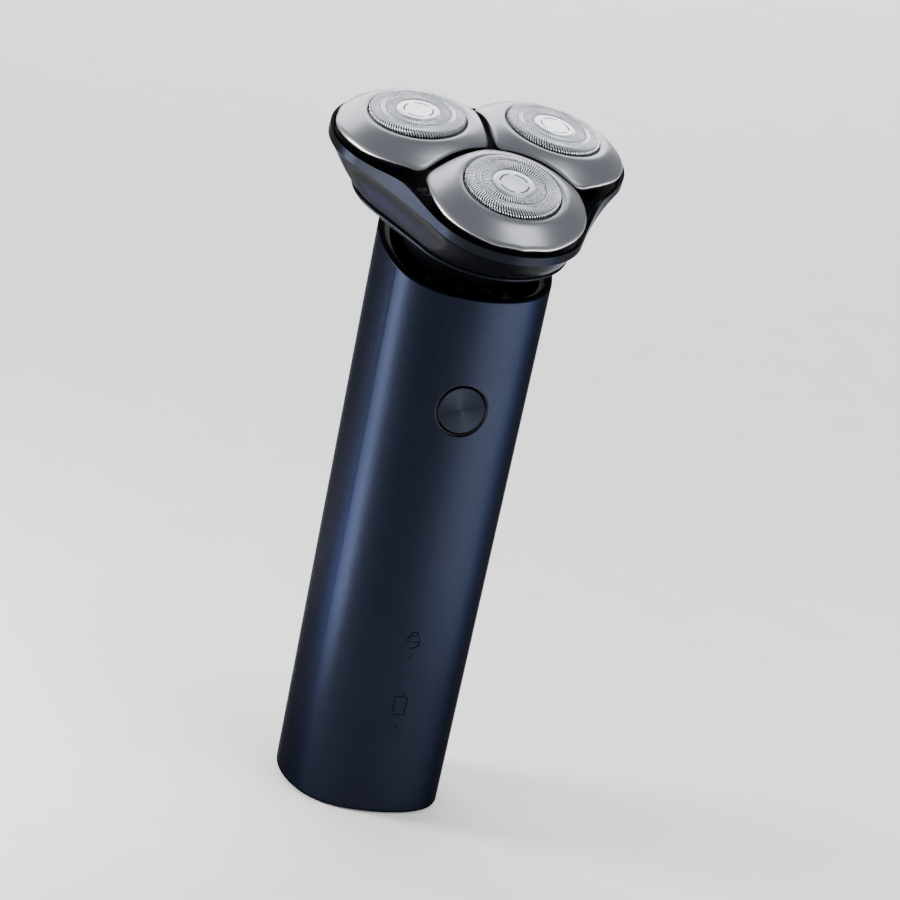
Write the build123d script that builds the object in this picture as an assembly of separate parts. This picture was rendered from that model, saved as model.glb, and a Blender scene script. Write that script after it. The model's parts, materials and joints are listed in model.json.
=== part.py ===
"""Rotary electric shaver: slim handle, flexing neck and a three-cap shaving head.

Millimetres.  +Z runs up the handle from the centre of its foot, the button faces -Y.
Head pieces are drawn about the neck joint with Z along the head's own axis and are then
tilted into place, and each shaving unit is drawn about its cap and then placed on the head.
"""
from build123d import *
import os
from math import atan, cos, pi, radians, sin, sqrt, tan

os.makedirs("parts", exist_ok=True)

# Handle
HANDLE_HX = 17.64        # half width at mid height
HANDLE_HY = 18.35        # half depth at mid height
HANDLE_TOP = 119.8       # rim height on the handle axis
CORNER_R = 13.0          # section corner radius
SIDE_BULGE = 0.76        # how far the side arcs stand beyond the corner arcs
FACE_BULGE = 0.58
CORNER_X = HANDLE_HX - CORNER_R - SIDE_BULGE
CORNER_Y = HANDLE_HY - CORNER_R - FACE_BULGE
TAPER = 0.00063776       # section growth per mm of height
MID_Z = 58.8
WALL = 1.4
FOOT_EDGE = 0.8
FIT = 0.05               # gap between fixed pieces
# Head
HEAD_TILT = 13.2
NECK_DROP = 5.9          # neck joint above the handle's rim
CAP_HEIGHT = 20.4        # cap plane above the neck joint
CAP_CIRCLE = 17.15       # cap centres about the head axis
CAP_LEAN = 6.0
CAP_R = 10.1
OUTER_TRACK = 2.58       # rim to groove
GROOVE_R = CAP_R - OUTER_TRACK
HUB_R = 4.36
CAP_TRAVEL = 1.0
PETAL_R = 16.45
PETAL_SIDE = 16.5        # petal half width near its swept corners
PETAL_CORNER_R = 3.4
PETAL_GAP = 0.95         # petal flank to the wedge line
PETAL_T = 0.7
SHELL_T = 1.3
LIP_T = 0.7
SADDLE_RISE = 1.5        # the bowl's edge stands higher in its two front valleys
SADDLE_HALF = 12.5
RIM_EDGE = 0.35          # rounding of the handle's rim
DECK_T = 1.4
# Drive
SUN_TEETH = 18
PLANET_TEETH = 26
GEAR_T = 2.6
BACKLASH = 0.16
PIVOT_DROP = 6.2         # petal hinge below the cap plane
HINGE_W = CAP_HEIGHT - PIVOT_DROP * cos(radians(CAP_LEAN))
HINGE_AT = CAP_CIRCLE - PIVOT_DROP * sin(radians(CAP_LEAN))
MODULE = 2 * HINGE_AT / (SUN_TEETH + PLANET_TEETH)
SHAFT_R = 1.5
RUN_GAP = 0.05           # radial running clearance
CLEAR = 0.3              # gap between moving pieces
BALL_R = 2.0
DOG_R = 0.6
DOG_HALF = 3.2
RING_R = 7.6
PIN_R = 0.8
# Button and lights
BUTTON_Z = 91.2
BUTTON_R = 5.15
BUTTON_GAP = 0.55
BUTTON_TRAVEL = 0.6
LOCK_LED_Z = 36.3
BATTERY_LED_Z = 20.3
PIPE_R = 0.55
ICON_DEPTH = 0.25
# Inside the handle
CELL_R = 7.1
CELL_H = 50.0
MOTOR_R = 10.0
MOTOR_H = 30.0
BOARD_T = 1.0
PORT_W = 8.94
PORT_H = 3.26
PORT_Y = 6.5             # the inlet sits behind the foot's middle


def keep(name, *shapes):
    solids = [s for shape in shapes for s in shape.solids()]
    whole = solids[0] if len(solids) == 1 else Compound(children=solids)
    export_step(whole, f"parts/{name}.step")


def union(shapes):
    whole = shapes[0]
    for shape in shapes[1:]:
        whole = whole + shape
    return whole


def arc_ring(joints, mids):
    """Face bounded by arcs through joints[i], mids[i], joints[i + 1]."""
    edges = []
    for i, mid in enumerate(mids):
        edges.append(ThreePointArc(joints[i], mid, joints[(i + 1) % len(joints)]))
    return Face(Wire(edges))


def growth(z):
    return 1 + TAPER * (z - MID_Z)


def section(z, inset):
    """Handle section at height z, moved inward by inset: four side arcs, four corner arcs."""
    k = growth(z)
    hx, hy, r = HANDLE_HX * k - inset, HANDLE_HY * k - inset, CORNER_R * k - inset
    cx, cy = CORNER_X * k, CORNER_Y * k
    dx = (cx**2 + cy**2 - (hx - r) ** 2) / (2 * (hx - r - cx))
    dy = (cx**2 + cy**2 - (hy - r) ** 2) / (2 * (hy - r - cy))
    nx = sqrt((cx + dx) ** 2 + cy**2)
    ny = sqrt((cy + dy) ** 2 + cx**2)
    side = (cx + r * (cx + dx) / nx, cy + r * cy / nx)
    front = (cx + r * cx / ny, cy + r * (cy + dy) / ny)
    mx, my = (side[0] + front[0]) / 2 - cx, (side[1] + front[1]) / 2 - cy
    mm = sqrt(mx * mx + my * my)
    corner = (cx + r * mx / mm, cy + r * my / mm)
    joints, mids = [], []
    for sx, sy in ((1, 1), (-1, 1), (-1, -1), (1, -1)):
        pair = [(sx * side[0], sy * side[1]), (sx * front[0], sy * front[1])]
        if sx * sy < 0:
            pair.reverse()
        joints += pair
        mids.append((sx * corner[0], sy * corner[1]))
        mids.append((0, sy * hy) if sx * sy > 0 else (sx * hx, 0))
    return Pos(0, 0, z) * arc_ring(joints, mids)


def column(z0, z1, inset):
    return loft([section(z0, inset), section(z1, inset)], ruled=True)


def half_depth(z):
    return HANDLE_HY * growth(z)


def tube(r, r_in, z0, z1):
    body = Pos(0, 0, z0) * Cylinder(r, z1 - z0, align=(Align.CENTER, Align.CENTER, Align.MIN))
    if r_in > 0:
        body -= Pos(0, 0, z0 - 1) * Cylinder(r_in, z1 - z0 + 2, align=(Align.CENTER, Align.CENTER, Align.MIN))
    return body


def block(x, y, z):
    """Box from three (low, high) pairs."""
    size = (x[1] - x[0], y[1] - y[0], z[1] - z[0])
    return Pos((x[0] + x[1]) / 2, (y[0] + y[1]) / 2, (z[0] + z[1]) / 2) * Box(*size)


def rod_y(x, z, r, y0, y1):
    return Pos(x, (y0 + y1) / 2, z) * Rot(90, 0, 0) * Cylinder(r, abs(y1 - y0))


def rod_x(y, z, r, x0, x1):
    return Pos((x0 + x1) / 2, y, z) * Rot(0, 90, 0) * Cylinder(r, abs(x1 - x0))


def spun(points):
    """Solid of revolution from (radius, height) points."""
    return revolve(Plane.XZ * make_face(Polyline(*points, close=True)), Axis.Z)


def polar(r, deg):
    return (r * cos(radians(deg)), r * sin(radians(deg)))


def slot_face(width, height):
    return Pos(0, PORT_Y) * RectangleRounded(width, height, height / 2 - 0.001)


LOBES = (-90, 30, 150)
VALLEYS = (-150, -30, 90)
NECK_Z = HANDLE_TOP + NECK_DROP
HEAD = Pos(0, 0, NECK_Z) * Rot(HEAD_TILT, 0, 0)
RIM_W = -NECK_DROP * cos(radians(HEAD_TILT))
UNDER_RIM = HEAD * Pos(0, 0, RIM_W) * Box(90, 90, 60, align=(Align.CENTER, Align.CENTER, Align.MIN))


def unit(i):
    """Frame of shaving unit i: X outward, Z along the cap's axis, origin at the cap's centre."""
    x, y = polar(CAP_CIRCLE, LOBES[i])
    return HEAD * Pos(x, y, CAP_HEIGHT) * Rot(0, 0, LOBES[i]) * Rot(0, CAP_LEAN, 0)


# ---------------------------------------------------------------- handle
TOP_Z = HANDLE_TOP + 8
outer = column(0, TOP_Z, 0)
inner = column(-1, TOP_Z, WALL)
foot = outer.edges().filter_by_position(Axis.Z, -0.01, 0.01)
sleeve = fillet(foot, FOOT_EDGE) - inner - UNDER_RIM
rim_face = sleeve.faces().sort_by(Axis.Z)[-1]
sleeve = fillet(rim_face.outer_wire().edges(), RIM_EDGE)
face_y = -half_depth(BUTTON_Z)
well_r = BUTTON_R + BUTTON_GAP
sleeve -= rod_y(0, BUTTON_Z, well_r, face_y - 2, face_y + 5)
for z in (LOCK_LED_Z, BATTERY_LED_Z):
    sleeve -= rod_y(0, z, PIPE_R + FIT, -half_depth(z) - 2, -half_depth(z) + 5)

LINE = 0.35
lock_ring = Circle(1.6) - Circle(1.6 - LINE)
lock_bow = Pos(0, 1.55) * (Rectangle(1.7, 1.5) - Pos(0, -LINE) * Rectangle(1.7 - 2 * LINE, 1.5))
lock_bar = Rectangle(2.6, LINE)
lock_icon = (lock_bow - Circle(1.6)) + lock_ring + lock_bar
cell_box = RectangleRounded(3.0, 4.4, 0.4) - RectangleRounded(3.0 - 2 * LINE, 4.4 - 2 * LINE, 0.2)
cell_icon = cell_box + Pos(0, 2.45) * Rectangle(1.2, 0.5)
for icon, z in ((lock_icon, LOCK_LED_Z + 3.2), (cell_icon, BATTERY_LED_Z + 4.6)):
    y = -half_depth(z) + ICON_DEPTH
    sleeve -= extrude(Plane(origin=(0, y, z), x_dir=(1, 0, 0), z_dir=(0, -1, 0)) * icon, 3)
keep("handle_sleeve", sleeve)

# Foot: a plug in the sleeve's end, with the charging inlet through it
PLATE_T = 1.8
PLUG_H = 8.0
SEAL_Z = 4.4
SEAL_H = 1.6
SEAL_D = 0.9
GASKET_T = 0.6
port_well = slot_face(PORT_W + 2 * GASKET_T, PORT_H + 2 * GASKET_T)
port_mouth = slot_face(PORT_W, PORT_H)
plug = column(0, PLUG_H, WALL + FIT) - column(PLATE_T, PLUG_H + 1, WALL + 2.6)
plug -= column(SEAL_Z, SEAL_Z + SEAL_H, 0) - column(SEAL_Z, SEAL_Z + SEAL_H, WALL + FIT + SEAL_D)
plug += extrude(slot_face(PORT_W + 4, PORT_H + 4), 6.0)
plug -= extrude(Pos(0, 0, 0.7) * port_well, 9) + extrude(Pos(0, 0, -1) * port_mouth, 9)
keep("bottom_cap", plug)
seal_out = column(SEAL_Z + FIT, SEAL_Z + SEAL_H - FIT, WALL)
keep("bottom_seal", seal_out - column(SEAL_Z, SEAL_Z + SEAL_H, WALL + FIT + SEAL_D))
gasket = extrude(Pos(0, 0, 0.7) * port_well, 1.0) - extrude(Pos(0, 0, 0) * port_mouth, 9)
keep("port_gasket", gasket)
port = extrude(Pos(0, 0, 1.7) * port_mouth, 6.5)
port -= extrude(Pos(0, 0, 1) * slot_face(PORT_W - 0.6, PORT_H - 0.6), 6.2)
port += block((-3.3, 3.3), (PORT_Y - 0.35, PORT_Y + 0.35), (2.6, 7.6))
keep("charging_port", port)

# Chassis: a rear half shell with three floors and a front tray that carries the board
BASE_Z = PLUG_H + 3.0
FLOOR_T = 1.4
CELL_Z = BASE_Z + FLOOR_T + 0.6
CELL_Y = 2.0
CELL_TOP = CELL_Z + CELL_H
MOTOR_Z = CELL_TOP + 0.6 + FLOOR_T + 2.2
MOTOR_TOP = MOTOR_Z + MOTOR_H
COLLAR_Z = HANDLE_TOP - 11.4
CHASSIS_T = 1.3
FRONT_X = MOTOR_R + 0.5
TRAY_Y = -MOTOR_R - 0.6
CHASSIS_TOP = MOTOR_TOP + FLOOR_T
shell_in = WALL + 0.3
rear = column(BASE_Z, CHASSIS_TOP, shell_in) - column(BASE_Z - 1, CHASSIS_TOP + 1, shell_in + CHASSIS_T)
rear = rear & block((-30, 30), (0.3, 30), (0, 200))
floor_zs = (BASE_Z, CELL_TOP + 0.6, MOTOR_TOP)
for z in floor_zs:
    plate = column(z, z + FLOOR_T, shell_in) & block((-30, 30), (0.3, 30), (0, 200))
    rear += plate + block((-FRONT_X + 0.1, FRONT_X - 0.1), (TRAY_Y + 0.1, 1), (z, z + FLOOR_T))
BOSS_R = 3.1
rear -= tube(BOSS_R + FIT, 0, MOTOR_TOP - 1, MOTOR_TOP + 5)
MOTOR_SCREW_R = 6.5
for sx in (-1, 1):
    rear -= Pos(sx * MOTOR_SCREW_R, 0, MOTOR_TOP) * Cylinder(0.9, 10)
keep("chassis_rear", rear)
tray = block((-FRONT_X - 1.2, FRONT_X + 1.2), (TRAY_Y - 1.2, TRAY_Y), (BASE_Z, CHASSIS_TOP))
for sx in (-1, 1):
    x = sorted((sx * FRONT_X, sx * (FRONT_X + 1.2)))
    tray += block(x, (TRAY_Y - 1.2, 0.2), (BASE_Z, CHASSIS_TOP))
board_y = TRAY_Y - 1.2
BOARD_LOW = BASE_Z + 1
BOARD_HIGH = BUTTON_Z + 9
screw_spots = [(sx * 7.0, z) for sx in (-1, 1) for z in (BOARD_LOW + 3, BOARD_HIGH - 3)]
for x, z in screw_spots:
    tray -= rod_y(x, z, 0.7, board_y - 1, TRAY_Y + 1)
keep("chassis_front", tray)
board = block((-9, 9), (board_y - BOARD_T, board_y), (BOARD_LOW, BOARD_HIGH))
for x, z in screw_spots:
    board -= rod_y(x, z, 0.8, board_y - 3, board_y + 1)
front_y = board_y - BOARD_T
chips = []
for x, z, w, h, t in ((0, 50, 6, 6, 1.0), (0, 66, 5, 4, 0.9), (-5, 60, 2, 3, 0.8), (5, 60, 2, 3, 0.8)):
    chips.append(block((x - w / 2, x + w / 2), (front_y - t, front_y), (z - h / 2, z + h / 2)))
for z in (LOCK_LED_Z, BATTERY_LED_Z):
    chips.append(block((-0.8, 0.8), (front_y - 0.6, front_y), (z - 0.5, z + 0.5)))
keep("circuit_board", union([board] + chips))
screws = []
for x, z in screw_spots:
    screws.append(rod_y(x, z, 0.7, front_y, TRAY_Y) + rod_y(x, z, 1.3, front_y - 0.8, front_y))
keep("board_screws", *screws)
cell = tube(CELL_R, 0, CELL_Z, CELL_TOP - 1) + tube(2.8, 0, CELL_TOP - 1, CELL_TOP)
keep("battery_cell", Pos(0, CELL_Y, 0) * cell)
tab_low = block((-2, 2), (CELL_Y - 5, CELL_Y + 5), (CELL_Z - 0.3, CELL_Z))
tab_high = block((-2, 2), (CELL_Y - 5, CELL_Y + 2.5), (CELL_TOP, CELL_TOP + 0.3))
keep("battery_tabs", tab_low, tab_high)
can = tube(MOTOR_R, 0, MOTOR_Z, MOTOR_TOP)
can += tube(BOSS_R, 0, MOTOR_TOP, MOTOR_TOP + 1.2)
can -= tube(SHAFT_R + RUN_GAP, 0, MOTOR_TOP - 12, MOTOR_TOP + 5)
for sx in (-1, 1):
    can -= Pos(sx * MOTOR_SCREW_R, 0, MOTOR_TOP) * Cylinder(0.75, 5)
keep("motor_can", can)
bell = tube(MOTOR_R - 1.5, 0, MOTOR_Z - 1.6, MOTOR_Z) + tube(3, 0, MOTOR_Z - 2.1, MOTOR_Z - 1.6)
keep("motor_end_bell", bell)
motor_screws = []
for sx in (-1, 1):
    bit = tube(0.75, 0, MOTOR_TOP - 2.4, CHASSIS_TOP) + tube(1.5, 0, CHASSIS_TOP, CHASSIS_TOP + 0.9)
    motor_screws.append(Pos(sx * MOTOR_SCREW_R, 0, 0) * bit)
keep("motor_screws", *motor_screws)

# Switch, button and light pipes
button_front = face_y + 0.4
button_back = -half_depth(BUTTON_Z) + WALL + 1.2
disc = rod_y(0, BUTTON_Z, BUTTON_R, button_front, button_back)
rim_edges = disc.edges().filter_by(GeomType.CIRCLE).sort_by(Axis.Y)
disc = chamfer(rim_edges[0], 0.25)
flange_y = -half_depth(BUTTON_Z) + WALL + 1.0
button = disc + rod_y(0, BUTTON_Z, well_r + 0.7, flange_y, flange_y + 0.6)
PLUNGER_GAP = 0.1
plunger_y = flange_y + 0.6
keep("power_button", button)
switch_front = plunger_y + BUTTON_TRAVEL + 0.4
switch = block((-3, 3), (switch_front, front_y), (BUTTON_Z - 3, BUTTON_Z + 3))
switch -= rod_y(0, BUTTON_Z, 1.2 + PLUNGER_GAP, switch_front - 1, front_y - 0.3)
keep("tact_switch", switch)
keep("switch_plunger", rod_y(0, BUTTON_Z, 1.2, plunger_y, front_y - 0.3 - BUTTON_TRAVEL - 0.1))
gasket_ring = rod_y(0, BUTTON_Z, well_r, face_y + 0.75, face_y + WALL + 0.1)
gasket_ring -= rod_y(0, BUTTON_Z, BUTTON_R + 0.2, face_y - 1, face_y + 5)
keep("button_gasket", gasket_ring)
for name, z in (("lock_light_pipe", LOCK_LED_Z), ("battery_light_pipe", BATTERY_LED_Z)):
    keep(name, rod_y(0, z, PIPE_R, -half_depth(z) + 0.1, front_y - 0.6))

# Collar in the handle's mouth, shaft seal and neck post
COLLAR_T = 1.2
COLLAR_FLOOR = 1.6
SEAL_R = 4.0
cup = column(COLLAR_Z, TOP_Z - 1, WALL) - column(COLLAR_Z + COLLAR_FLOOR, TOP_Z, WALL + COLLAR_T)
cup -= Pos(0, 0, -0.9) * UNDER_RIM
cup -= tube(SEAL_R, 0, COLLAR_Z - 1, COLLAR_Z + 5)
keep("shaft_seal", tube(SEAL_R, SHAFT_R + RUN_GAP, COLLAR_Z + 0.2, COLLAR_Z + COLLAR_FLOOR - 0.2))
POST_Z = COLLAR_Z + COLLAR_FLOOR
ARM_T = 1.4
ARM_W = 3.6
arm_in = RING_R + CLEAR
post = tube(11.0, SEAL_R, POST_Z, POST_Z + 1.4)
for sx in (-1, 1):
    x = sorted((sx * arm_in, sx * (arm_in + ARM_T)))
    post += block(x, (-ARM_W / 2, ARM_W / 2), (POST_Z, NECK_Z))
    post += rod_x(0, NECK_Z, ARM_W / 2, *x)
post -= rod_x(0, NECK_Z, PIN_R + RUN_GAP, -20, 20)
for sy in (-1, 1):
    post -= Pos(0, sy * 7.5, POST_Z) * Cylinder(0.9, 10)
keep("neck_post", post)
post_screws = []
for sy in (-1, 1):
    bit = tube(0.9, 0, POST_Z - COLLAR_FLOOR, POST_Z + 1.4) + tube(1.6, 0, POST_Z + 1.4, POST_Z + 2.2)
    post_screws.append(Pos(0, sy * 7.5, 0) * bit)
cup -= union(post_screws)
keep("top_collar", cup)
keep("post_screws", *post_screws)

# ---------------------------------------------------------------- drive shaft
shaft = tube(SHAFT_R, 0, MOTOR_TOP - 11.8, NECK_Z - 4)
shaft += tube(0.9, 0, NECK_Z - 4.1, NECK_Z)
shaft += Pos(0, 0, NECK_Z) * Sphere(BALL_R)
dog = rod_x(0, NECK_Z, DOG_R, -DOG_HALF, DOG_HALF)
keep("drive_shaft", shaft - dog)
keep("drive_pin", dog)

# ---------------------------------------------------------------- gimbal and neck
ring = tube(RING_R, RING_R - 1.6, -1.5, 1.5)
for a in (0, 180):
    x = sorted((cos(radians(a)) * (RING_R - 0.4), cos(radians(a)) * (arm_in + ARM_T - 0.2)))
    ring += rod_x(0, 0, PIN_R, *x)
    ring += Rot(0, 0, 90) * rod_x(0, 0, PIN_R, *x)
keep("gimbal_ring", HEAD * ring)

SEAT_W = 0.8
SPIGOT_R = 12.2
WELL_R = SPIGOT_R - 1.2
SKIRT_R = 17.4
skirt_points = [(WELL_R, SEAT_W + 1.0), (SPIGOT_R, SEAT_W + 1.0), (SPIGOT_R, SEAT_W)]
skirt_points += [(SKIRT_R, SEAT_W), (SKIRT_R, SEAT_W - 0.6), (16.2, -1.2), (14.9, -2.8), (13.8, -4.4)]
skirt_points += [(13.0, -6.2), (12.5, -8.0), (11.6, -8.0), (12.0, -6.2), (12.6, -4.4), (13.4, -2.8)]
skirt_points += [(14.2, -1.6), (WELL_R, -1.6)]
skirt = spun(skirt_points)
MAGNET_R = 1.6
MAGNET_AT = 14.6
MAGNET_H = 0.9
for a in (0, 180):
    boss = rod_x(0, -0.35, 1.75, arm_in, 12.4) & block((0, 13), (-3, 3), (-1.9, SEAT_W))
    boss += block((arm_in, 12.4), (-1.75, 1.75), (-0.35, SEAT_W - 0.2))
    skirt += Rot(0, 0, 90 + a) * (boss - rod_x(0, 0, PIN_R + RUN_GAP, 0, arm_in + ARM_T))
for a in VALLEYS:
    x, y = polar(MAGNET_AT, a)
    skirt -= Pos(x, y, SEAT_W) * Cylinder(MAGNET_R, 2 * MAGNET_H)
keep("neck_skirt", HEAD * skirt)
magnet = tube(MAGNET_R, 0, SEAT_W - MAGNET_H, SEAT_W)
keep("neck_magnets", *[HEAD * Pos(*polar(MAGNET_AT, a), 0) * magnet for a in VALLEYS])

# ---------------------------------------------------------------- head shell
RIM_TOP = CAP_HEIGHT - 7.0
BAND_H = 2.0
RIM_GAP = 0.4
RIM_REACH = CAP_CIRCLE + PETAL_R + RIM_GAP
RIM_WAIST = CAP_CIRCLE / 2 + 16.03
SEAT_REACH = 21.2
SEAT_WAIST = 19.6
# Height above the neck joint, share of the growth at a lobe and in a valley, hollow of the valley
SPREAD = (
    (RIM_TOP - BAND_H, 1.0, 1.0, 0.80),
    (RIM_TOP - 4.0, 0.875, 0.80, 0.50),
    (RIM_TOP - 6.0, 0.742, 0.68, 0.30),
    (RIM_TOP - 8.0, 0.578, 0.58, 0.15),
    (RIM_TOP - 10.0, 0.375, 0.42, 0.10),
    (RIM_TOP - 11.5, 0.1875, 0.24, 0.06),
    (SEAT_W, 0.0, 0.0, 0.05),
)
BOWL = []
for w, lobe_share, valley_share, hollow in SPREAD:
    reach = SEAT_REACH + lobe_share * (RIM_REACH - SEAT_REACH)
    waist = SEAT_WAIST + valley_share * (RIM_WAIST - SEAT_WAIST)
    BOWL.append((w, reach, waist, hollow))


def lobed(w, reach, waist, hollow, inset=0.0):
    """Three-lobed outline: a convex arc round each cap, a faintly hollow arc between lobes."""
    d = 2 * (reach - waist - hollow)
    r = reach - d - inset
    v = waist - inset
    big = (v * v + d * d - v * d - r * r) / (2 * r + d - 2 * v)
    joints, mids = [], []
    for lobe in LOBES:
        lx, ly = polar(d, lobe)
        for side in (-60, 60):
            vx, vy = polar(v + big, lobe + side)
            n = sqrt((vx - lx) ** 2 + (vy - ly) ** 2)
            joints.append((lx + r * (vx - lx) / n, ly + r * (vy - ly) / n))
        mids += [polar(d + r, lobe), polar(v, lobe + 60)]
    return Pos(0, 0, w) * arc_ring(joints, mids)


def bowl(inset, floor):
    band_low = lobed(RIM_TOP - BAND_H, *BOWL[0][1:], inset)
    band = loft([band_low, Pos(0, 0, BAND_H) * band_low], ruled=True)
    rows = [row for row in BOWL if row[0] > floor + 0.3]
    low = [row for row in BOWL if row[0] <= floor + 0.3]
    if low and low[0][0] < floor - 0.01:
        up, down = rows[-1], low[0]
        t = (up[0] - floor) / (up[0] - down[0])
        rows.append((floor, *[a + t * (b - a) for a, b in zip(up[1:], down[1:])]))
    elif low:
        rows.append(low[0])
    return band + loft([lobed(*row, inset) for row in rows])


DECK_TOP = RIM_TOP - 2.0
DECK_LOW = DECK_TOP - DECK_T
SHELL_FLOOR = SEAT_W + 1.2
bowl_out = bowl(0, SEAT_W)
cavity = bowl(SHELL_T, SHELL_FLOOR)
pocket_low = lobed(DECK_TOP, *BOWL[0][1:], LIP_T)
pocket = loft([pocket_low, Pos(0, 0, RIM_TOP + SADDLE_RISE + 2 - DECK_TOP) * pocket_low], ruled=True)
shell = bowl_out - cavity - pocket
saddle_line = Spline((-SADDLE_HALF, 0), (0, SADDLE_RISE), (SADDLE_HALF, 0), tangents=((1, 0), (1, 0)))
saddle_base = Polyline((SADDLE_HALF, 0), (SADDLE_HALF, -1), (-SADDLE_HALF, -1), (-SADDLE_HALF, 0))
saddle = extrude(make_face([saddle_line, *saddle_base.edges()]), 30)
edge_low = lobed(RIM_TOP - 1, *BOWL[0][1:])
edge_wall = loft([edge_low, Pos(0, 0, SADDLE_RISE + 2) * edge_low], ruled=True) - pocket
for a in VALLEYS[:2]:
    shell += edge_wall & (Rot(0, 0, a + 90) * Pos(0, 0, RIM_TOP) * Rot(90, 0, 0) * saddle)
PLATE_LOW = SHELL_FLOOR + 2.0
PLATE_TOP = PLATE_LOW + 1.2
HEAD_BOSS_AT = 16.9
for a in VALLEYS:
    pillar = tube(3.0, 0, SHELL_FLOOR - 0.2, PLATE_LOW) + tube(2.1, 0, PLATE_LOW - 0.1, DECK_LOW)
    shell += (Pos(*polar(HEAD_BOSS_AT, a), 0) * pillar) & bowl_out
    shell -= Pos(*polar(HEAD_BOSS_AT, a), 0) * tube(0.9, 0, SHELL_FLOOR + 1.5, DECK_LOW + 1)
shell -= tube(SPIGOT_R + 0.2, 0, SEAT_W - 1, PLATE_LOW - 0.4)
for a in VALLEYS:
    x, y = polar(MAGNET_AT, a)
    shell -= Pos(x, y, SEAT_W) * Cylinder(MAGNET_R, 2 * MAGNET_H)
keep("head_shell", HEAD * shell)
magnet = tube(MAGNET_R, 0, SEAT_W, SEAT_W + MAGNET_H)
keep("head_magnets", *[HEAD * Pos(*polar(MAGNET_AT, a), 0) * magnet for a in VALLEYS])

GEAR_LOW = PLATE_TOP + 0.9
SUN_R = MODULE * SUN_TEETH / 2
PLANET_R = MODULE * PLANET_TEETH / 2
CUP_R = 3.9
deck = bowl(SHELL_T + FIT, SHELL_FLOOR) & block((-60, 60), (-60, 60), (DECK_LOW, DECK_TOP))
gear_plate = tube(20.0, CUP_R + RUN_GAP, PLATE_LOW, PLATE_TOP)
post_half = 14.2
for a in LOBES:
    x, y = polar(HINGE_AT, a)
    deck -= Pos(x, y, DECK_LOW) * Cylinder(SHAFT_R + RUN_GAP, 10)
    gear_plate -= Pos(x, y, PLATE_LOW) * Cylinder(SHAFT_R + RUN_GAP, 10)
for a in LOBES:
    for side in (-1, 1):
        ear = block((-1.5, 1.5), (-0.7, 0.7), (DECK_TOP - 0.2, HINGE_W))
        ear += rod_y(0, HINGE_W, 1.5, -0.7, 0.7)
        ear -= rod_y(0, HINGE_W, PIN_R + RUN_GAP, -2, 2)
        deck += Rot(0, 0, a) * Pos(HINGE_AT, side * post_half, 0) * ear
for a in VALLEYS:
    x, y = polar(HEAD_BOSS_AT, a)
    deck -= Pos(x, y, 0) * (tube(0.9, 0, 0, 30) + tube(1.9, 0, DECK_TOP - 0.7, 30))
    gear_plate -= Pos(x, y, 0) * tube(2.1 + FIT, 0, 0, 30)
keep("head_deck", HEAD * deck)
keep("gear_plate", HEAD * gear_plate)
head_screws = []
for a in VALLEYS:
    bit = tube(0.9, 0, SHELL_FLOOR + 3, DECK_TOP - 0.7) + tube(1.8, 0, DECK_TOP - 0.7, DECK_TOP - 0.05)
    bit -= Pos(0, 0, DECK_TOP) * Box(0.5, 2.4, 0.7)
    head_screws.append(HEAD * Pos(*polar(HEAD_BOSS_AT, a), 0) * bit)
keep("head_screws", *head_screws)


# ---------------------------------------------------------------- gears
def gear(teeth, thickness, turn):
    """Spur gear with involute flanks; turn sets where its first tooth points."""
    rp = MODULE * teeth / 2
    rb = rp * cos(radians(20))
    ro = rp + MODULE
    rr = rp - 1.25 * MODULE
    inv20 = tan(radians(20)) - radians(20)
    half = pi / 2 / teeth - BACKLASH / 4 / rp

    def lean(r):
        phi = sqrt(max(r * r - rb * rb, 0)) / rb
        return half + inv20 - (phi - atan(phi))

    def at(r, a):
        return (r * cos(a), r * sin(a))

    edges = []
    pitch = 2 * pi / teeth
    rm = (rb + ro) / 2
    for i in range(teeth):
        c = radians(turn) + i * pitch
        low, mid, top = lean(rb), lean(rm), lean(ro)
        edges.append(Line(at(rr, c - low), at(rb, c - low)))
        edges.append(ThreePointArc(at(rb, c - low), at(rm, c - mid), at(ro, c - top)))
        edges.append(ThreePointArc(at(ro, c - top), at(ro, c), at(ro, c + top)))
        edges.append(ThreePointArc(at(ro, c + top), at(rm, c + mid), at(rb, c + low)))
        edges.append(Line(at(rb, c + low), at(rr, c + low)))
        gap = c + pitch / 2
        edges.append(ThreePointArc(at(rr, c + low), at(rr, gap), at(rr, c + pitch - low)))
    return extrude(Face(Wire(edges)), thickness)


MOUTH_W = -2.4
sun = Pos(0, 0, GEAR_LOW) * gear(SUN_TEETH, GEAR_T, LOBES[0])
sun += tube(CUP_R, 0, MOUTH_W, GEAR_LOW + 0.1) + tube(CUP_R + 0.9, 0, PLATE_TOP + 0.1, GEAR_LOW + 0.1)
sun += tube(1.5, 0, GEAR_LOW, DECK_LOW - 0.2)
sun -= tube(BALL_R + CLEAR, 0, MOUTH_W - 1, BALL_R + 0.6)
sun -= block((-CUP_R - 1, CUP_R + 1), (-DOG_R - 0.2, DOG_R + 0.2), (MOUTH_W - 1, 2.0))
keep("drive_gear", HEAD * sun)

BAR_W = 1.4
BAR_HALF = 2.5
for i, a in enumerate(LOBES):
    turn = 180.0 + 180.0 / PLANET_TEETH
    wheel = Pos(0, 0, GEAR_LOW + 0.1) * gear(PLANET_TEETH, GEAR_T - 0.2, turn)
    wheel += tube(2.6, 0, PLATE_TOP + 0.1, DECK_LOW - 0.2)
    spindle = tube(SHAFT_R, 0, PLATE_LOW - 0.3, HINGE_W - 0.8)
    spindle += block((-BAR_HALF, BAR_HALF), (-BAR_W / 2, BAR_W / 2), (HINGE_W - 0.8, HINGE_W + 0.8))
    place = HEAD * Rot(0, 0, a) * Pos(HINGE_AT, 0, 0)
    keep(f"planet_gear_{i + 1}", place * (wheel - tube(SHAFT_R + 0.02, 0, 0, 40)))
    keep(f"spindle_{i + 1}", place * spindle)

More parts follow.
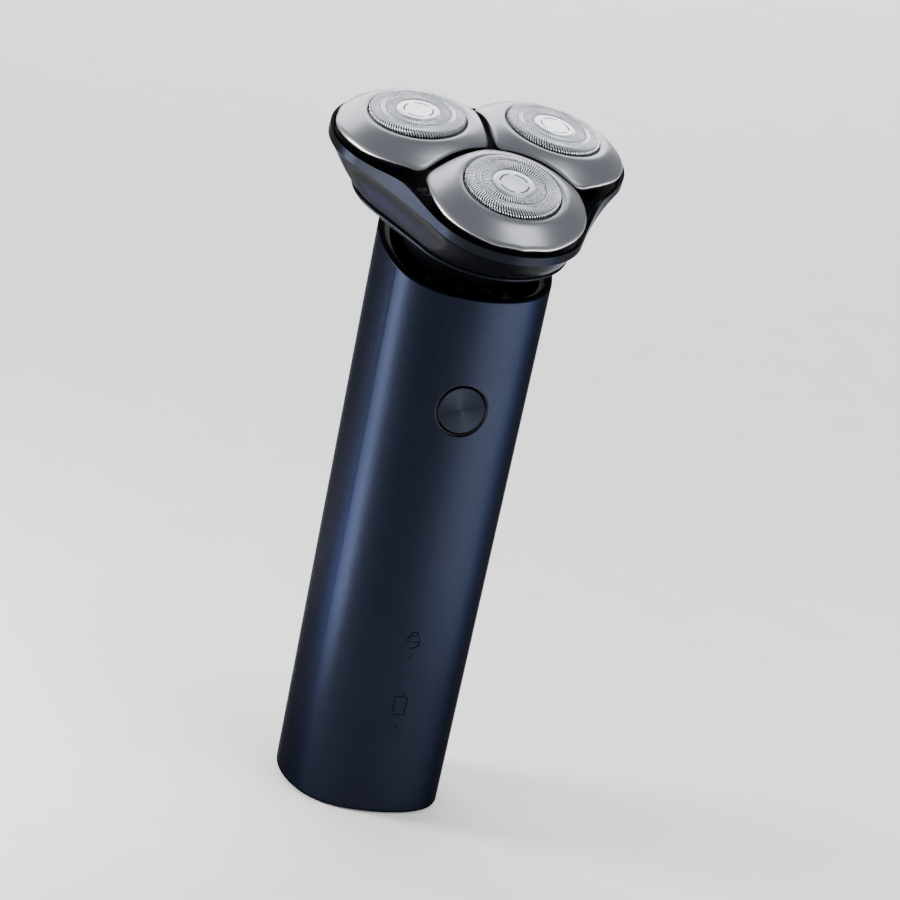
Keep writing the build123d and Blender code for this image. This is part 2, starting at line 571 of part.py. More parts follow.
# ---------------------------------------------------------------- shaving units
PEAK = -1.0              # petal collar below the cap plane
CAP_BORE = CAP_R + 0.2
slope = [(CAP_BORE, PEAK - 0.15), (CAP_BORE + 0.4, PEAK), (CAP_BORE + 1.3, PEAK - 0.25)]
slope += [(13.9, -2.15), (15.6, -3.35), (PETAL_R + 0.4, -4.25), (19.5, -5.7)]
under = [(r, z - PETAL_T) for r, z in reversed(slope)]
dome = spun(slope + under)
FRAME_LOW = -5.5
tray_top = [(r, z - FIT) for r, z in under if z - FIT > FRAME_LOW]
fall = (under[1][1] - under[0][1]) / (under[0][0] - under[1][0])
tray_reach = tray_top[0][0] + (tray_top[0][1] - FRAME_LOW) / fall
below = spun([(0, FRAME_LOW), (tray_reach, FRAME_LOW), *tray_top, (0, tray_top[-1][1])])


def petal_prism(inset):
    """Petal outline: rounded outer edge, two swept corners, straight flanks to a blunt inner tip."""
    tip = -CAP_CIRCLE + (PETAL_GAP + inset) / sin(radians(60))
    side = PETAL_SIDE - inset
    corner = (tip + side / tan(radians(60)), side)
    turn = polar(PETAL_R - 0.05 - inset, 62)
    left = ThreePointArc(corner, (-0.6, side + 0.15), turn)
    front = ThreePointArc(turn, (PETAL_R - inset, 0), (turn[0], -turn[1]))
    right = ThreePointArc((turn[0], -turn[1]), (-0.6, -side - 0.15), (corner[0], -corner[1]))
    flat = Polyline((corner[0], -corner[1]), (tip, 0), corner)
    face = Face(Wire([left, front, right, *flat.edges()]))
    sharp = [v for v in face.vertices() if v.X < 0]
    return Pos(0, 0, -12) * extrude(fillet(sharp, PETAL_CORNER_R), 20, dir=(0, 0, 1))


petal_body = (dome & petal_prism(0)) - tube(CAP_BORE, 0, -20, 5)
tray_body = below & petal_prism(0.9)
EAR_T = 1.1
EAR_Y = post_half - 0.7 - CLEAR / 2 - EAR_T / 2
for side in (-1, 1):
    tray_body -= Rot(0, -CAP_LEAN, 0) * Pos(-0.65, side * post_half, -8) * Box(5.2, 2.2, 10)
for side in (-1, 1):
    ear = block((-1.4, 1.4), (-EAR_T / 2, EAR_T / 2), (-PIVOT_DROP, FRAME_LOW + 1.4))
    ear += rod_y(0, -PIVOT_DROP, 1.4, -EAR_T / 2, EAR_T / 2)
    pin = sorted((side * 0.4, side * (post_half - EAR_Y + 0.7)))
    tray_body += Pos(0, side * EAR_Y, 0) * (ear + rod_y(0, -PIVOT_DROP, PIN_R, *pin))
FLANGE_R = CAP_R + 0.93
TRAY_BORE = FLANGE_R + CLEAR
tray_body -= tube(TRAY_BORE, 0, -20, 5)
FLANGE_TOP = PEAK - PETAL_T - 0.4
FLANGE_LOW = FLANGE_TOP - 0.6
STOP_TOP = FLANGE_LOW - CAP_TRAVEL - 0.1
retainer = tube(TRAY_BORE - FIT, CAP_R - 0.37, STOP_TOP - 0.8, STOP_TOP)
cap = spun(
    [
        (0, 0.12), (HUB_R, 0.12), (HUB_R + 0.15, 0), (GROOVE_R - 0.25, 0), (GROOVE_R - 0.25, -0.3),
        (GROOVE_R + 0.1, -0.3), (GROOVE_R + 0.1, 0), (CAP_R - 0.7, 0), (CAP_R - 0.2, -0.2), (CAP_R, -0.7),
        (CAP_R, FLANGE_TOP), (FLANGE_R, FLANGE_TOP), (FLANGE_R, FLANGE_LOW), (CAP_R - 0.5, FLANGE_LOW),
        (CAP_R - 0.5, -0.9), (CAP_R - 0.9, -0.6), (GROOVE_R + 0.4, -0.6), (GROOVE_R + 0.4, -0.75),
        (GROOVE_R - 0.5, -0.75), (GROOVE_R - 0.5, -0.6), (0, -0.6),
    ]
)
BLADE_TOP = -0.78
disc_low = -2.3
blades = tube(CAP_R - 1.1, HUB_R - 1.2, disc_low, disc_low + 0.5)
for k in range(12):
    fin = block((GROOVE_R + 0.5, CAP_R - 1.3), (-0.25, 0.25), (disc_low + 0.4, BLADE_TOP))
    blades += Rot(0, 0, k * 30) * fin
for k in range(9):
    fin = block((HUB_R, GROOVE_R - 0.8), (-0.25, 0.25), (disc_low + 0.4, BLADE_TOP))
    blades += Rot(0, 0, k * 40) * fin
SLOT_TOP = -PIVOT_DROP + 0.8 + CAP_TRAVEL + 0.3
hub = tube(HUB_R, 0, -PIVOT_DROP - 0.9, disc_low) + tube(HUB_R - 1.25, 0, disc_low - 0.1, disc_low + 0.9)
hub -= block((-BAR_HALF - 0.5, BAR_HALF + 0.5), (-BAR_W / 2 - 0.22, BAR_W / 2 + 0.22), (-9, SLOT_TOP))
hub -= tube(SHAFT_R + 0.5, 0, -9, -PIVOT_DROP + 0.4)
for i in range(3):
    keep(f"petal_{i + 1}", unit(i) * petal_body)
    keep(f"petal_frame_{i + 1}", unit(i) * tray_body)
    keep(f"cap_retainer_{i + 1}", unit(i) * retainer)
    keep(f"cap_{i + 1}", unit(i) * cap)
    keep(f"cutter_blades_{i + 1}", unit(i) * blades)
    keep(f"cutter_hub_{i + 1}", unit(i) * hub)
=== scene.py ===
"""Looks for a rotary electric shaver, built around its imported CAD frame. Metres; MM scales millimetres."""

import json
from math import atan2, cos, pi, radians, sin, sqrt

import bpy
import numpy as np
from mathutils import Matrix, Vector


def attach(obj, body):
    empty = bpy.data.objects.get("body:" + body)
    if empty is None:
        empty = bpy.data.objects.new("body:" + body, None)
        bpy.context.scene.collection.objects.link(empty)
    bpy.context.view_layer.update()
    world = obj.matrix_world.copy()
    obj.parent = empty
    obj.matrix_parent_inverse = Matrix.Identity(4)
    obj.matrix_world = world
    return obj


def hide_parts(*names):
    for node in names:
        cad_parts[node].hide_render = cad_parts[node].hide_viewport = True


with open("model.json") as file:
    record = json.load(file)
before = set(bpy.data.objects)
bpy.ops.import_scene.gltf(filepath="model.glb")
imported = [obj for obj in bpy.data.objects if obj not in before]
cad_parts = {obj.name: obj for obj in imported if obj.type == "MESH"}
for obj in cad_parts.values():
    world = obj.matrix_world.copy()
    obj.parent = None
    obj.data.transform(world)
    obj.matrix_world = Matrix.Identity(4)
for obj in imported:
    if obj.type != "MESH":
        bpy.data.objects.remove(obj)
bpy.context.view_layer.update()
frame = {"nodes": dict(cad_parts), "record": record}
MM = 0.001

# ---------------------------------------------------------------- places shared with the CAD model
NECK_Z = 125.7
HEAD_TILT = 13.2
CAP_HEIGHT, CAP_CIRCLE, CAP_LEAN = 20.4, 17.15, 6.0
CAP_R, GROOVE_R, HUB_R = 10.1, 7.52, 4.36
PETAL_R, PETAL_SIDE, PETAL_GAP = 16.45, 16.5, 0.95
CAP_BORE = CAP_R + 0.2
BUTTON_Z = 91.2
LOBES = (-90, 30, 150)
HEAD = Matrix.Translation((0, 0, NECK_Z * MM)) @ Matrix.Rotation(radians(HEAD_TILT), 4, "X")


def unit(i):
    a = radians(LOBES[i])
    place = Matrix.Translation((CAP_CIRCLE * cos(a) * MM, CAP_CIRCLE * sin(a) * MM, CAP_HEIGHT * MM))
    return HEAD @ place @ Matrix.Rotation(a, 4, "Z") @ Matrix.Rotation(radians(CAP_LEAN), 4, "Y")


# ---------------------------------------------------------------- camera, floor, light
def aim(obj, at, roll=0.0):
    obj.rotation_mode = "QUATERNION"
    look = (Vector(at) - obj.location).to_track_quat("-Z", "Y")
    obj.rotation_quaternion = (look.to_matrix().to_4x4() @ Matrix.Rotation(roll, 4, "Z")).to_quaternion()


AZ, EL, ROLL = radians(-19.27), radians(18.51), radians(11.84)
back = Vector((sin(AZ) * cos(EL), -cos(AZ) * cos(EL), sin(EL)))
target = Vector((5.34 * cos(AZ) * MM, 5.34 * sin(AZ) * MM, 76.6 * MM))
cam = bpy.data.objects.new("camera", bpy.data.cameras.new("camera"))
bpy.context.collection.objects.link(cam)
cam.data.sensor_width = 36
cam.data.lens = 228
cam.location = target + back * 1.191
aim(cam, target, ROLL)
cam.data.clip_start, cam.data.clip_end = 0.01, 50
bpy.context.scene.camera = cam


def material(name, make):
    mat = bpy.data.materials.new(name)
    mat.use_nodes = True
    nodes, links = mat.node_tree.nodes, mat.node_tree.links
    shader = nodes["Principled BSDF"]
    make(nodes, links, shader)
    return mat


def noise(nodes, links, scale, detail):
    where = nodes.new("ShaderNodeTexCoord")
    tex = nodes.new("ShaderNodeTexNoise")
    tex.inputs["Scale"].default_value = scale
    tex.inputs["Detail"].default_value = detail
    links.new(where.outputs["Object"], tex.inputs["Vector"])
    return tex


def ramp(nodes, links, source, stops):
    node = nodes.new("ShaderNodeValToRGB")
    links.new(source, node.inputs["Fac"])
    band = node.color_ramp
    while len(band.elements) > 1:
        band.elements.remove(band.elements[-1])
    band.elements[0].position, band.elements[0].color = stops[0][0], (*stops[0][1], 1)
    for place, colour in stops[1:]:
        band.elements.new(place).color = (*colour, 1)
    return node


def spread(nodes, links, source, low, high):
    """Maps the middle of a noise, 0.3 to 0.7, onto low to high."""
    node = nodes.new("ShaderNodeMapRange")
    node.inputs["From Min"].default_value, node.inputs["From Max"].default_value = 0.3, 0.7
    node.inputs["To Min"].default_value, node.inputs["To Max"].default_value = low, high
    links.new(source, node.inputs["Value"])
    return node.outputs["Result"]


def bump(nodes, links, shader, source, strength, distance):
    node = nodes.new("ShaderNodeBump")
    node.inputs["Strength"].default_value = strength
    node.inputs["Distance"].default_value = distance
    links.new(source, node.inputs["Height"])
    links.new(node.outputs["Normal"], shader.inputs["Normal"])


def finish_of(colour_a, colour_b, rough, metal, grain, bump_mm, spec, coat=0.0, edge=None):
    """A material whose colour and roughness drift a little with a fine grain, with an optional grain bump."""

    def make(nodes, links, shader):
        slow = noise(nodes, links, 60, 2.0)
        fine = noise(nodes, links, grain, 4.0)
        tint = ramp(nodes, links, slow.outputs["Fac"], ((0.35, colour_a), (0.65, colour_b)))
        links.new(tint.outputs["Color"], shader.inputs["Base Color"])
        varied = spread(nodes, links, fine.outputs["Fac"], rough * 0.88, rough * 1.12)
        links.new(varied, shader.inputs["Roughness"])
        shader.inputs["Metallic"].default_value = metal
        shader.inputs["Specular IOR Level"].default_value = spec
        if edge:
            shader.inputs["Specular Tint"].default_value = (*edge, 1)
        if coat:
            shader.inputs["Coat Weight"].default_value = coat
            shader.inputs["Coat Roughness"].default_value = 0.1
        if bump_mm:
            bump(nodes, links, shader, fine.outputs["Fac"], 0.5, bump_mm * MM)

    return make


EDGE = (0.10, 0.12, 0.17)
navy_satin = material(
    "navy_satin",
    finish_of((0.0094, 0.0116, 0.0200), (0.0101, 0.0124, 0.0214), 0.38, 0.92, 2600, 0.012, 0.05, edge=EDGE),
)
navy_gloss = material(
    "navy_gloss",
    finish_of((0.0086, 0.0098, 0.0138), (0.0092, 0.0106, 0.0148), 0.25, 0.80, 1200, 0.0, 0.05, edge=EDGE),
)
# A brighter copy of navy_gloss for the neck skirt: painted light, lifting the shaded skirt so that it shows a
# soft highlight.
skirt_gloss_painted_light = material(
    "skirt_gloss_painted_light",
    finish_of((0.030, 0.035, 0.048), (0.033, 0.039, 0.053), 0.26, 0.90, 1200, 0.0, 0.05, edge=EDGE),
)


def spun_metal(nodes, links, shader):
    """Dark metal turned on a lathe: rings about the button's axis, and a highlight that fans out from it."""
    where = nodes.new("ShaderNodeTexCoord")
    rings = nodes.new("ShaderNodeTexWave")
    rings.wave_type, rings.rings_direction = "RINGS", "Y"
    rings.inputs["Scale"].default_value = 900
    shift = nodes.new("ShaderNodeVectorMath")
    shift.operation = "SUBTRACT"
    shift.inputs[1].default_value = (0, 0, BUTTON_Z * MM)
    links.new(where.outputs["Object"], shift.inputs[0])
    links.new(shift.outputs["Vector"], rings.inputs["Vector"])
    stops = ((0.2, (0.0085, 0.0105, 0.0165)), (0.8, (0.0125, 0.0150, 0.0225)))
    tint = ramp(nodes, links, rings.outputs["Fac"], stops)
    links.new(tint.outputs["Color"], shader.inputs["Base Color"])
    shader.inputs["Metallic"].default_value = 1.0
    shader.inputs["Roughness"].default_value = 0.34
    shader.inputs["Anisotropic"].default_value = 0.95
    aside = nodes.new("ShaderNodeTangent")
    aside.direction_type, aside.axis = "RADIAL", "Y"
    links.new(aside.outputs["Tangent"], shader.inputs["Tangent"])


navy_button = material("navy_button", spun_metal)
petal_metal = material(
    "petal_metal", finish_of((0.245, 0.25, 0.27), (0.262, 0.267, 0.287), 0.31, 1.0, 5200, 0.0012, 0.5)
)
cap_steel = material(
    "cap_steel", finish_of((0.56, 0.58, 0.62), (0.62, 0.64, 0.68), 0.26, 1.0, 3500, 0.004, 0.5)
)
hub_steel = material(
    "hub_steel", finish_of((0.60, 0.63, 0.67), (0.66, 0.69, 0.73), 0.36, 1.0, 3500, 0.004, 0.5)
)
dark_mark = material(
    "dark_mark", finish_of((0.030, 0.034, 0.042), (0.036, 0.040, 0.050), 0.5, 0.6, 3000, 0.0, 0.2)
)
# Near-black finish for the disc under the cap slots: painted shade standing in for the dark seen down the
# slots, not a part's own colour.
painted_slot_shade = material(
    "painted_slot_shade", finish_of((0.010, 0.011, 0.014), (0.013, 0.014, 0.017), 0.6, 0.3, 3000, 0.0, 0.1)
)
blade_steel = material(
    "blade_steel", finish_of((0.10, 0.105, 0.12), (0.13, 0.135, 0.15), 0.35, 1.0, 3000, 0.004, 0.5)
)
black_plastic = material(
    "black_plastic",
    finish_of((0.0030, 0.0038, 0.0065), (0.0045, 0.0056, 0.0090), 0.55, 0.0, 2500, 0.01, 0.12),
)
black_rubber = material(
    "black_rubber", finish_of((0.004, 0.004, 0.005), (0.007, 0.007, 0.008), 0.7, 0.0, 2500, 0.01, 0.25)
)
acetal = material("acetal", finish_of((0.70, 0.70, 0.66), (0.74, 0.74, 0.71), 0.42, 0.0, 1500, 0.004, 0.5))
steel = material("steel", finish_of((0.48, 0.48, 0.50), (0.55, 0.55, 0.57), 0.28, 1.0, 2500, 0.004, 0.5))
cell_wrap = material(
    "cell_wrap", finish_of((0.06, 0.16, 0.32), (0.07, 0.18, 0.35), 0.3, 0.0, 1500, 0.0, 0.5, 0.4)
)
board_green = material(
    "board_green", finish_of((0.010, 0.075, 0.030), (0.014, 0.090, 0.036), 0.35, 0.0, 1200, 0.0, 0.5)
)
# Light pipes coloured near black: painted shade, so that the LED windows read as dark pits.
pipe_painted_shade = material(
    "pipe_painted_shade", finish_of((0.0015, 0.002, 0.004), (0.002, 0.003, 0.005), 0.5, 0.0, 1500, 0.0, 0.1)
)
paper = material("paper", finish_of((0.90, 0.90, 0.905), (0.92, 0.92, 0.925), 0.9, 0.0, 40, 0.0, 0.0))

BY_SLOT = {
    "navy_satin": navy_satin,
    "navy_gloss": navy_gloss,
    "navy_metal": navy_button,
    "satin_metal": petal_metal,
    "foil_steel": blade_steel,
    "black_plastic": black_plastic,
    "white_acetal": acetal,
    "black_rubber": black_rubber,
    "plain_steel": steel,
    "cell_wrap": cell_wrap,
    "board_green": board_green,
    "light_pipe": pipe_painted_shade,
}
for entry in frame["record"]["subparts"]:
    node = frame["nodes"][entry["node"]]
    for k in range(len(node.material_slots)):
        node.material_slots[k].material = BY_SLOT[entry["material_slot"]]
# The neck skirt takes the brighter copy of navy_gloss, which is painted light.
frame["nodes"]["neck_skirt"].material_slots[0].material = skirt_gloss_painted_light


def plane(name, size, z):
    mesh = bpy.data.meshes.new(name)
    s = size / 2
    mesh.from_pydata([(-s, -s, z), (s, -s, z), (s, s, z), (-s, s, z)], [], [(0, 1, 2, 3)])
    obj = bpy.data.objects.new(name, mesh)
    bpy.context.collection.objects.link(obj)
    mesh.materials.append(paper)


plane("floor", 12.0, -0.0002)
world = bpy.data.worlds.new("studio")
bpy.context.scene.world = world
world.use_nodes = True
world.node_tree.nodes["Background"].inputs["Color"].default_value = (0.90, 0.94, 1.0, 1)
world.node_tree.nodes["Background"].inputs["Strength"].default_value = 0.55


def panel(name, azimuth, elevation, distance, width, height, radiance, at=(0, 0, 0.09), colour=(1, 1, 1)):
    """Soft light that faces a point on the object, from an azimuth (0 is -Y) and an elevation in degrees."""
    light = bpy.data.lights.new(name, "AREA")
    light.shape = "RECTANGLE"
    light.size, light.size_y = width, height
    light.energy = 4 * width * height * radiance
    light.color = colour
    obj = bpy.data.objects.new(name, light)
    bpy.context.collection.objects.link(obj)
    a, e = radians(azimuth), radians(elevation)
    obj.location = Vector(at) + distance * Vector((sin(a) * cos(e), -cos(a) * cos(e), sin(e)))
    aim(obj, at)


def floor_panel(name, azimuth, distance, width, length, radiance, colour=(1, 1, 1)):
    """Soft light that lies on the floor and shines up, so that only upright faces mirror it."""
    panel(name, azimuth, 0, distance, width, length, radiance, (0, 0, 0.0015), colour)
    a = radians(azimuth)
    light = bpy.data.objects[name]
    upward = Matrix(((-cos(a), -sin(a), 0), (-sin(a), cos(a), 0), (0, 0, -1)))
    light.rotation_quaternion = upward.to_4x4().to_quaternion()


panel("back", 178, 30, 1.2, 1.7, 1.05, 3.4)
panel("front_high", 32, 56, 1.2, 0.6, 0.6, 3.4)
panel("left_strip", -104, 3, 0.26, 0.09, 0.17, 30.0, colour=(1.0, 0.93, 0.86))
panel("right_low", 60, 0, 0.33, 0.56, 0.11, 9.0, (0, 0, 0.058), (1.0, 0.96, 0.92))
floor_panel("left_glow", -104, 0.18, 0.085, 0.15, 22.0, (1.0, 0.95, 0.90))
floor_panel("left_wide", -135, 0.20, 0.13, 0.18, 5.0, (1.0, 0.97, 0.94))
floor_panel("right_glow", 62, 0.22, 0.28, 0.22, 3.6, (1.0, 0.97, 0.94))


# ---------------------------------------------------------------- mesh helpers, in local millimetres
def put(name, verts, faces, place, mat, body):
    mesh = bpy.data.meshes.new(name)
    mesh.from_pydata([tuple(c * MM for c in v) for v in verts], [], faces)
    mesh.validate()
    mesh.polygons.foreach_set("use_smooth", [True] * len(mesh.polygons))
    mesh.materials.append(mat)
    obj = bpy.data.objects.new(name, mesh)
    obj.matrix_world = place
    bpy.context.collection.objects.link(obj)
    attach(obj, body)
    return obj


def grid(rings, closed_rings=False):
    """Vertices and quads from rings of equal length, each ring closed round."""
    n = len(rings[0])
    verts = [p for ring in rings for p in ring]
    faces = []
    count = len(rings) if closed_rings else len(rings) - 1
    for a in range(count):
        b = (a + 1) % len(rings)
        for k in range(n):
            m = (k + 1) % n
            faces.append((a * n + k, a * n + m, b * n + m, b * n + k))
    return verts, faces


def lathe(profile, segments):
    rings = []
    turns = [2 * pi * k / segments for k in range(segments)]
    for r, z in profile:
        rings.append([(r * cos(a), r * sin(a), z) for a in turns])
    return grid(rings)


def join(parts):
    verts, faces = [], []
    for v, f in parts:
        base = len(verts)
        verts += v
        faces += [tuple(i + base for i in face) for face in f]
    return verts, faces


def smooth_line(points, steps):
    """Points along a Catmull-Rom curve through the given (radius, height) points."""
    points = np.array(points, float)
    before, after = 2 * points[0] - points[1], 2 * points[-1] - points[-2]
    pts = np.vstack([before, points, after])
    out = []
    for i in range(1, len(pts) - 2):
        p0, p1, p2, p3 = pts[i - 1 : i + 3]
        for s in range(steps):
            t = s / steps
            square = (2 * p0 - 5 * p1 + 4 * p2 - p3) * t**2
            cube = (3 * p1 - p0 - 3 * p2 + p3) * t**3
            out.append(0.5 * (2 * p1 + (p2 - p0) * t + square + cube))
    out.append(pts[-2])
    return [tuple(p) for p in out]


# ---------------------------------------------------------------- petals
def petal_outline(inset):
    """Closed outline points of a petal: blunt inner tip, two swept corners, rounded outer edge."""
    tip = -CAP_CIRCLE + (PETAL_GAP + inset) / sin(radians(60))
    side = PETAL_SIDE - inset
    corner = (tip + side / sqrt(3), side)
    turn_r, turn_a = PETAL_R - 0.05 - inset, radians(62)
    turn = (turn_r * cos(turn_a), turn_r * sin(turn_a))
    rim = PETAL_R - inset
    edge_keys = [(-0.6, side + 0.15), (3.6, side - 0.45), turn, (12.0, 11.1), (rim - 1.15, 6.1), (rim, 0)]
    edge = smooth_line(edge_keys, 10)
    upper = [corner] + edge
    lower = [(x, -y) for x, y in reversed(upper[:-1])]
    keys = [(tip, 0.0)] + upper + lower
    soft = {0: 2.8, 1: 3.5, len(keys) - 1: 3.5}
    out = []
    for i, p in enumerate(keys):
        if i not in soft:
            out.append(p)
            continue
        a, b = Vector(keys[i - 1]), Vector(keys[(i + 1) % len(keys)])
        c = Vector(p)
        u, v = (a - c).normalized(), (b - c).normalized()
        half = u.angle(v) / 2
        reach = soft[i] / np.tan(half)
        centre = c + (u + v).normalized() * soft[i] / sin(half)
        s, e = c + u * reach - centre, c + v * reach - centre
        a0, a1 = atan2(s.y, s.x), atan2(e.y, e.x)
        while a1 - a0 > pi:
            a1 -= 2 * pi
        while a1 - a0 < -pi:
            a1 += 2 * pi
        for k in range(13):
            t = a0 + (a1 - a0) * k / 12
            out.append((centre.x + soft[i] * cos(t), centre.y + soft[i] * sin(t)))
    return np.array(out)


def reach_of(outline, angle):
    """Distance from the cap's centre to the outline along an angle."""
    d = np.array((cos(angle), sin(angle)))
    a, b = outline, np.roll(outline, -1, axis=0)
    e = b - a
    det = d[0] * -e[:, 1] + d[1] * e[:, 0]
    det = np.where(abs(det) < 1e-12, 1e-12, det)
    s = (a[:, 0] * -e[:, 1] + a[:, 1] * e[:, 0]) / det
    t = (d[0] * a[:, 1] - d[1] * a[:, 0]) / det
    hits = s[(t >= -1e-6) & (t <= 1 + 1e-6) & (s > 0)]
    return float(hits.max())


SLOPE_KEYS = [(CAP_BORE - 0.5, -2.0), (CAP_BORE, -1.35), (CAP_BORE + 0.35, -1.05)]
SLOPE_KEYS += [(11.5, -1.02), (12.6, -1.45), (14.2, -2.38), (15.6, -3.34), (16.85, -4.2), (19.6, -6.0)]
SLOPE = smooth_line(SLOPE_KEYS, 12)
slope_r = np.array([p[0] for p in SLOPE])
slope_z = np.array([p[1] for p in SLOPE])


def height(r):
    return float(np.interp(r, slope_r, slope_z))


AROUND = 288
outline = petal_outline(0)
edge_r = [reach_of(outline, 2 * pi * k / AROUND) for k in range(AROUND)]
soft_r = [sum(edge_r[(k + j) % AROUND] for j in (-1, 0, 1)) / 3 for k in range(AROUND)]


def petal_mesh():
    """Rings from the cap's bore out over the slope, round the lip and back under it."""
    rings = []

    def ring(radius_of, drop):
        pts = []
        for k in range(AROUND):
            a = 2 * pi * k / AROUND
            r = radius_of(k)
            pts.append((r * cos(a), r * sin(a), height(r) + drop))
        rings.append(pts)

    def flat(r, z):
        angles = [2 * pi * k / AROUND for k in range(AROUND)]
        rings.append([(r * cos(a), r * sin(a), z) for a in angles])

    flat(CAP_BORE, -1.9)
    flat(CAP_BORE, -1.3)
    for r in (CAP_BORE + 0.06, CAP_BORE + 0.15, CAP_BORE + 0.3, CAP_BORE + 0.5):
        ring(lambda k, r=r: min(r, soft_r[k] - 0.6), 0)
    start = CAP_BORE + 0.5
    for s in np.linspace(0, 1, 15)[1:]:
        ring(lambda k, s=s: start + (soft_r[k] - 0.50 - start) * s, 0)
    ring(lambda k: soft_r[k] - 0.42, -0.02)
    ring(lambda k: soft_r[k] - 0.10, -0.22)
    ring(lambda k: soft_r[k] - 0.02, -0.30)
    ring(lambda k: soft_r[k], -0.42)
    ring(lambda k: soft_r[k] - 0.03, -0.85)
    ring(lambda k: soft_r[k] - 0.10, -0.92)
    ring(lambda k: soft_r[k] - 1.2, -0.92)
    return grid(rings)


# ---------------------------------------------------------------- caps with real slots
def bars(count, stations, width, thick, slant, phase=0.0):
    """Slotted track: count bars that follow (radius, height) stations; slant in degrees over the run."""
    out = []
    n = len(stations)
    for j in range(count):
        base = 2 * pi * j / count + phase
        verts = []
        for k, (r, z) in enumerate(stations):
            a = base + radians(slant) * k / (n - 1)
            p, q = stations[max(k - 1, 0)], stations[min(k + 1, n - 1)]
            tr, tz = q[0] - p[0], q[1] - p[1]
            m = sqrt(tr * tr + tz * tz)
            nr, nz = -tz / m, tr / m
            w = width * (r / stations[-1][0]) / 2
            for side, deep in ((-1, 0), (1, 0), (1, 1), (-1, 1)):
                rr, zz = r - nr * thick * deep, z - nz * thick * deep
                verts.append((rr * cos(a) - side * w * sin(a), rr * sin(a) + side * w * cos(a), zz))
        faces = []
        for k in range(n - 1):
            for e in range(4):
                f = (e + 1) % 4
                faces.append((4 * k + e, 4 * k + f, 4 * k + 4 + f, 4 * k + 4 + e))
        faces += [(3, 2, 1, 0), (4 * n - 4, 4 * n - 3, 4 * n - 2, 4 * n - 1)]
        out.append((verts, faces))
    return join(out)


def cap_meshes():
    """Slotted foil of one cap, its plain hub, the broken ring marked on the hub, and a dark disc under the
    bars that is painted shade for the slots.
    """
    deep = 0.17
    h, g = HUB_R, GROOVE_R
    top = [(0.02, 0.06), (2.4, 0.10), (h - 0.45, 0.12), (h - 0.2, 0.09), (h - 0.1, 0.0), (h - 0.1, -0.6)]
    hub = lathe(top, 96)
    inner_in = lathe([(h - 0.1, -0.05), (h + 0.1, -0.02), (h + 0.16, -0.1), (h + 0.16, -0.5)], 96)
    ridge = [(g - 0.50, -0.5), (g - 0.50, -0.06), (g - 0.44, 0.02), (g - 0.30, 0.02)]
    ridge += [(g - 0.22, -0.06), (g - 0.20, -0.45), (g + 0.06, -0.45), (g + 0.08, -0.06)]
    ridge += [(g + 0.14, 0.02), (g + 0.24, 0.02), (g + 0.30, -0.05), (g + 0.30, -0.5)]
    inner_out = lathe(ridge, 128)
    edge = [(CAP_R - 0.42, -1.45), (CAP_R - 0.02, -1.40), (CAP_R, -1.5), (CAP_R, -2.1), (CAP_R + 0.93, -2.1)]
    edge += [(CAP_R + 0.93, -2.7), (CAP_R - 0.5, -2.7), (CAP_R - 0.5, -1.5)]
    edge = lathe(edge, 160)
    inner = bars(76, [(HUB_R + 0.1, -0.02), (5.2, 0.03), (6.2, 0.03), (g - 0.46, 0.0)], 0.25, deep, 5)
    over = [(g + 0.27, 0.0), (8.2, 0.04), (8.9, 0.02), (9.4, -0.05)]
    over += [(9.75, -0.2), (9.98, -0.48), (10.07, -0.9), (10.09, -1.44)]
    outer = bars(108, over, 0.27, deep, 6)
    arcs = []
    for q in range(4):
        verts, faces = [], []
        for k in range(17):
            a = radians(q * 90 + 20 + 66 * k / 16)
            for r, z in ((2.82, 0.122), (3.18, 0.124)):
                verts.append((r * cos(a), r * sin(a), z))
        for k in range(16):
            faces.append((2 * k, 2 * k + 1, 2 * k + 3, 2 * k + 2))
        arcs.append((verts, faces))
    # Painted shade: a dark disc just under the bars, so the slots show dark instead of the blades below.
    shade = lathe([(HUB_R, -0.62), (CAP_R - 0.62, -0.62), (CAP_R - 0.5, -0.9), (CAP_R - 0.5, -1.5)], 128)
    return join([inner_in, inner_out, edge, inner, outer]), hub, join(arcs), shade


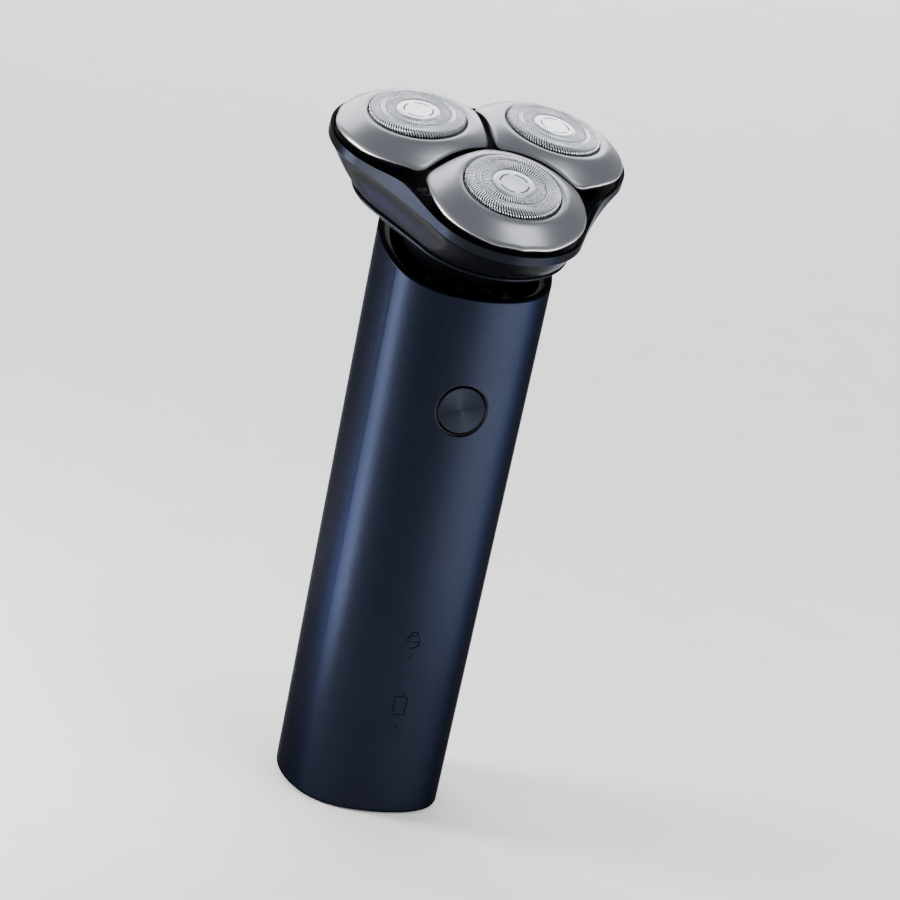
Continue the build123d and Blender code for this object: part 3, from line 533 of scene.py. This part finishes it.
CAP_TURNS = (-6, 17, 41)
petal_data, (cap_data, hub_data, mark_data, shade_data) = petal_mesh(), cap_meshes()
for i in range(3):
    n = i + 1
    plate = put(f"petal_plate_{n}", *petal_data, unit(i), petal_metal, f"petal_{n}")
    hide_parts(f"petal_{n}")
    turned = unit(i) @ Matrix.Rotation(radians(CAP_TURNS[i]), 4, "Z")
    foil = put(f"cap_foil_{n}", *cap_data, turned, cap_steel, f"cap_{n}")
    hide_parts(f"cap_{n}")
    flat_cap = put(f"cap_hub_{n}", *hub_data, turned, hub_steel, f"cap_{n}")
    mark = put(f"cap_mark_{n}", *mark_data, turned, dark_mark, f"cap_{n}")
    # The dark disc under each cap's bars is painted shade for the slots.
    shade = put(f"cap_shade_{n}", *shade_data, turned, painted_slot_shade, f"cap_{n}")


# ---------------------------------------------------------------- polished bead round the bowl's lower edge
def lobed(reach, waist, hollow, steps=48):
    """Three-lobed outline of the bowl: a convex arc round each cap, and a faintly hollow arc between."""
    d = 2 * (reach - waist - hollow)
    r = reach - d
    big = (waist * waist + d * d - waist * d - r * r) / (2 * r + d - 2 * waist)
    points = []
    for lobe in LOBES:
        centre = Vector((d * cos(radians(lobe)), d * sin(radians(lobe))))
        valley = radians(lobe + 60)
        far = (waist + big) * Vector((cos(valley), sin(valley)))
        out = (far - centre).normalized()
        turn = atan2(out.y, out.x) - radians(lobe)
        turn = (turn + pi) % (2 * pi) - pi
        for k in range(steps):
            a = radians(lobe) - turn + 2 * turn * k / steps
            points.append((centre.x + r * cos(a), centre.y + r * sin(a)))
        first = centre + r * out
        start = atan2(first.y - far.y, first.x - far.x)
        sweep = ((valley + pi - start + pi) % (2 * pi) - pi) * 2
        for k in range(steps // 2):
            a = start + sweep * k / (steps // 2)
            points.append((far.x + big * cos(a), far.y + big * sin(a)))
    return points


BEAD_W, BEAD_R, BEAD_SIDES = 3.3, 0.45, 12
bead_line = lobed(26.35, 21.85, 0.09)
rings = []
for k in range(BEAD_SIDES):
    a = 2 * pi * k / BEAD_SIDES
    n = len(bead_line)
    ring = []
    for i, (x, y) in enumerate(bead_line):
        ahead, behind = bead_line[(i + 1) % n], bead_line[i - 1]
        bx, by = ahead[0] - behind[0], ahead[1] - behind[1]
        m = sqrt(bx * bx + by * by)
        ring.append((x + BEAD_R * cos(a) * by / m, y - BEAD_R * cos(a) * bx / m, BEAD_W + BEAD_R * sin(a)))
    rings.append(ring)
bead = put("bowl_bead", *grid(rings, True), HEAD, navy_gloss, "head")
